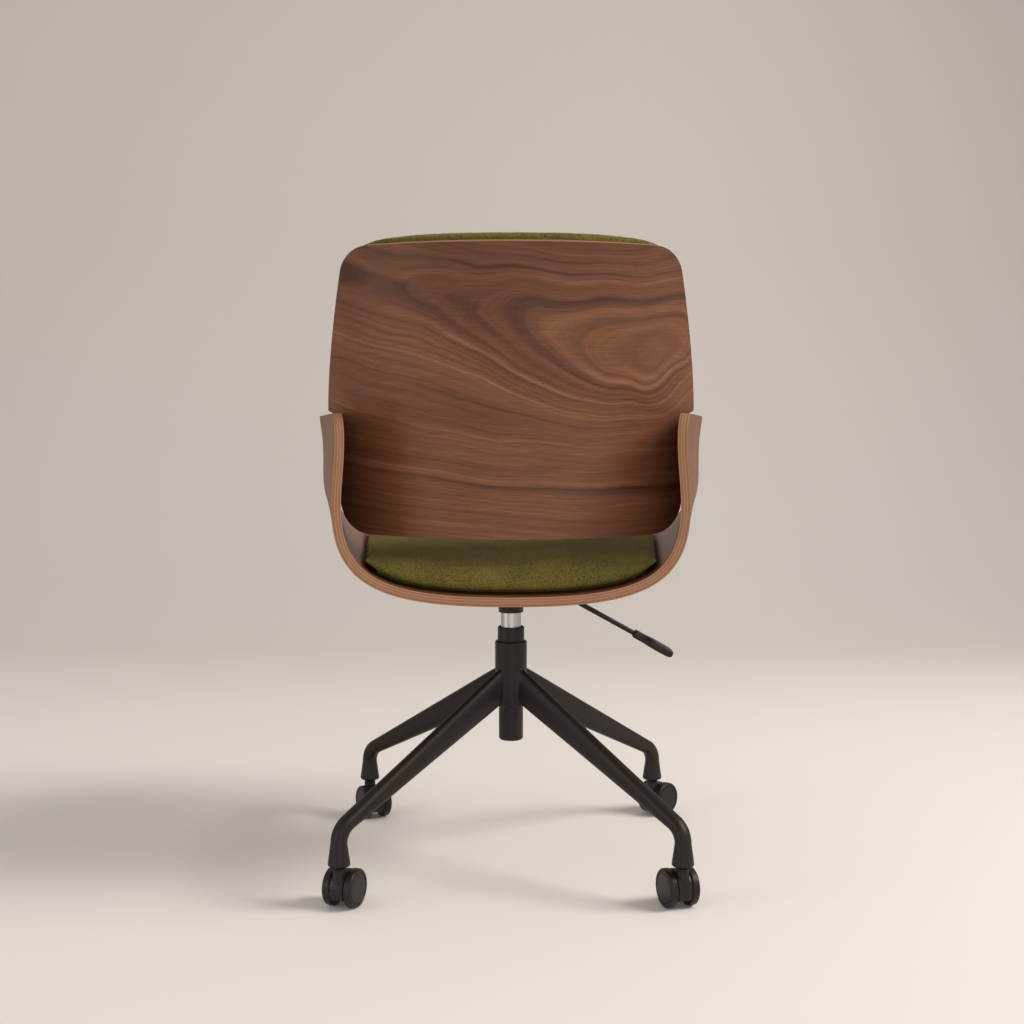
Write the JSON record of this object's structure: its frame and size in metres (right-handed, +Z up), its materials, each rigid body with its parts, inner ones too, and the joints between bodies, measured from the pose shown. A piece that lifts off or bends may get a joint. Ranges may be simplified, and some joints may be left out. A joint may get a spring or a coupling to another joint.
{
  "type": "office chair",
  "caption": "Swivel office armchair: bent plywood shell with arms in one, curved plywood back, cushions, gas lift column, star base with twin-wheel casters.",
  "frame": {"origin": "on the floor, on the column's axis", "axes": "+Z up, the sitter faces -Y and has the right hand at -X"},
  "size_m": [0.542, 0.5312, 0.8438],
  "materials": {
    "black_metal": "satin black powder coat",
    "black_plastic": "matte black nylon",
    "steel": "plain steel",
    "white_plastic": "white acetal",
    "rubber": "matte black",
    "veneer": "walnut veneer, satin lacquer",
    "board": "raw plywood",
    "fabric": "olive green looped pile"
  },
  "bodies": {
    "base": {"star_base": "black_metal", "column_tube": "black_metal", "guide_bush": "white_plastic", "bearing_race_lower": "steel", "caster_stem_rear_left": "steel", "caster_stem_rear_right": "steel", "caster_stem_front_right": "steel", "caster_stem_front_left": "steel"},
    "rod": {"piston_rod": "steel", "rod_clip": "steel", "bearing_cage": "steel", "bearing_race_upper": "steel", "rubber_bumper": "rubber"},
    "seat": {"gas_cylinder": "steel", "rod_guide": "black_plastic", "taper_socket": "black_metal", "mechanism_plate": "black_metal", "mechanism_pan": "black_metal", "lever_bracket": "black_metal", "lever_pivot_pin": "steel", "seat_bolt_1": "black_metal", "seat_bolt_2": "black_metal", "seat_bolt_3": "black_metal", "seat_bolt_4": "black_metal", "tee_nut_1": "steel", "tee_nut_2": "steel", "tee_nut_3": "steel", "tee_nut_4": "steel", "seat_shell": "veneer", "seat_board": "board", "seat_cushion": "fabric", "back_panel": "veneer", "back_board": "board", "back_cushion": "fabric", "arm_bracket_left_lower": "black_metal", "arm_bracket_left_upper": "black_metal", "arm_bracket_right_lower": "black_metal", "arm_bracket_right_upper": "black_metal"},
    "lever": {"lever_trigger": "black_metal", "lever_rod": "black_metal", "lever_paddle": "black_plastic"},
    "release_pin": {"release_pin": "steel"},
    "caster_rear_left": {"caster_hood_rear_left": "black_plastic", "caster_axle_rear_left": "steel"},
    "caster_rear_right": {"caster_hood_rear_right": "black_plastic", "caster_axle_rear_right": "steel"},
    "caster_front_right": {"caster_hood_front_right": "black_plastic", "caster_axle_front_right": "steel"},
    "caster_front_left": {"caster_hood_front_left": "black_plastic", "caster_axle_front_left": "steel"},
    "wheel_a_rear_left": {"wheel_a_rear_left": "black_plastic"},
    "wheel_b_rear_left": {"wheel_b_rear_left": "black_plastic"},
    "wheel_a_rear_right": {"wheel_a_rear_right": "black_plastic"},
    "wheel_b_rear_right": {"wheel_b_rear_right": "black_plastic"},
    "wheel_a_front_right": {"wheel_a_front_right": "black_plastic"},
    "wheel_b_front_right": {"wheel_b_front_right": "black_plastic"},
    "wheel_a_front_left": {"wheel_a_front_left": "black_plastic"},
    "wheel_b_front_left": {"wheel_b_front_left": "black_plastic"}
  },
  "joints": [
    {"name": "seat_swivel", "type": "hinge", "parent": "base", "child": "rod", "pos_m": [0, 0, 0.1768], "axis": [0, 0, 1], "continuous": true},
    {"name": "seat_lift", "type": "slide", "parent": "rod", "child": "seat", "axis": [0, 0, 1], "range_m": [0, 0.1]},
    {"name": "lever_lift", "type": "hinge", "parent": "seat", "child": "lever", "pos_m": [-0.03, 0, 0.3715], "axis": [0, 1, 0], "range_deg": [0, 6], "stiffness_Nm_per_rad": 2, "springref_deg": -5.73},
    {"name": "release_pin_press", "type": "slide", "parent": "seat", "child": "release_pin", "axis": [0, 0, 1], "range_m": [-0.004, 0]},
    {"name": "caster_swivel_rear_left", "type": "hinge", "parent": "base", "child": "caster_rear_left", "pos_m": [0.217, 0.217, 0.0508], "axis": [0, 0, 1], "continuous": true},
    {"name": "caster_swivel_rear_right", "type": "hinge", "parent": "base", "child": "caster_rear_right", "pos_m": [-0.217, 0.217, 0.0508], "axis": [0, 0, 1], "continuous": true},
    {"name": "caster_swivel_front_right", "type": "hinge", "parent": "base", "child": "caster_front_right", "pos_m": [-0.217, -0.217, 0.0508], "axis": [0, 0, 1], "continuous": true},
    {"name": "caster_swivel_front_left", "type": "hinge", "parent": "base", "child": "caster_front_left", "pos_m": [0.217, -0.217, 0.0508], "axis": [0, 0, 1], "continuous": true},
    {"name": "wheel_a_roll_rear_left", "type": "hinge", "parent": "caster_rear_left", "child": "wheel_a_rear_left", "pos_m": [0.21176, 0.20402, 0.025], "axis": [-0.9272, 0.3746, 0], "continuous": true},
    {"name": "wheel_b_roll_rear_left", "type": "hinge", "parent": "caster_rear_left", "child": "wheel_b_rear_left", "pos_m": [0.21176, 0.20402, 0.025], "axis": [-0.9272, 0.3746, 0], "continuous": true},
    {"name": "wheel_a_roll_rear_right", "type": "hinge", "parent": "caster_rear_right", "child": "wheel_a_rear_right", "pos_m": [-0.21221, 0.20384, 0.025], "axis": [-0.9397, -0.342, 0], "continuous": true},
    {"name": "wheel_b_roll_rear_right", "type": "hinge", "parent": "caster_rear_right", "child": "wheel_b_rear_right", "pos_m": [-0.21221, 0.20384, 0.025], "axis": [-0.9397, -0.342, 0], "continuous": true},
    {"name": "wheel_a_roll_front_right", "type": "hinge", "parent": "caster_front_right", "child": "wheel_a_front_right", "pos_m": [-0.2269, -0.2269, 0.025], "axis": [-0.7071, 0.7071, 0], "continuous": true},
    {"name": "wheel_b_roll_front_right", "type": "hinge", "parent": "caster_front_right", "child": "wheel_b_front_right", "pos_m": [-0.2269, -0.2269, 0.025], "axis": [-0.7071, 0.7071, 0], "continuous": true},
    {"name": "wheel_a_roll_front_left", "type": "hinge", "parent": "caster_front_left", "child": "wheel_a_front_left", "pos_m": [0.21043, -0.20464, 0.025], "axis": [0.8829, 0.4695, 0], "continuous": true},
    {"name": "wheel_b_roll_front_left", "type": "hinge", "parent": "caster_front_left", "child": "wheel_b_front_left", "pos_m": [0.21043, -0.20464, 0.025], "axis": [0.8829, 0.4695, 0], "continuous": true}
  ],
  "couplings": [
    {"joint": "release_pin_press", "follows": "lever_lift", "m_per_rad": -0.0345}
  ]
}
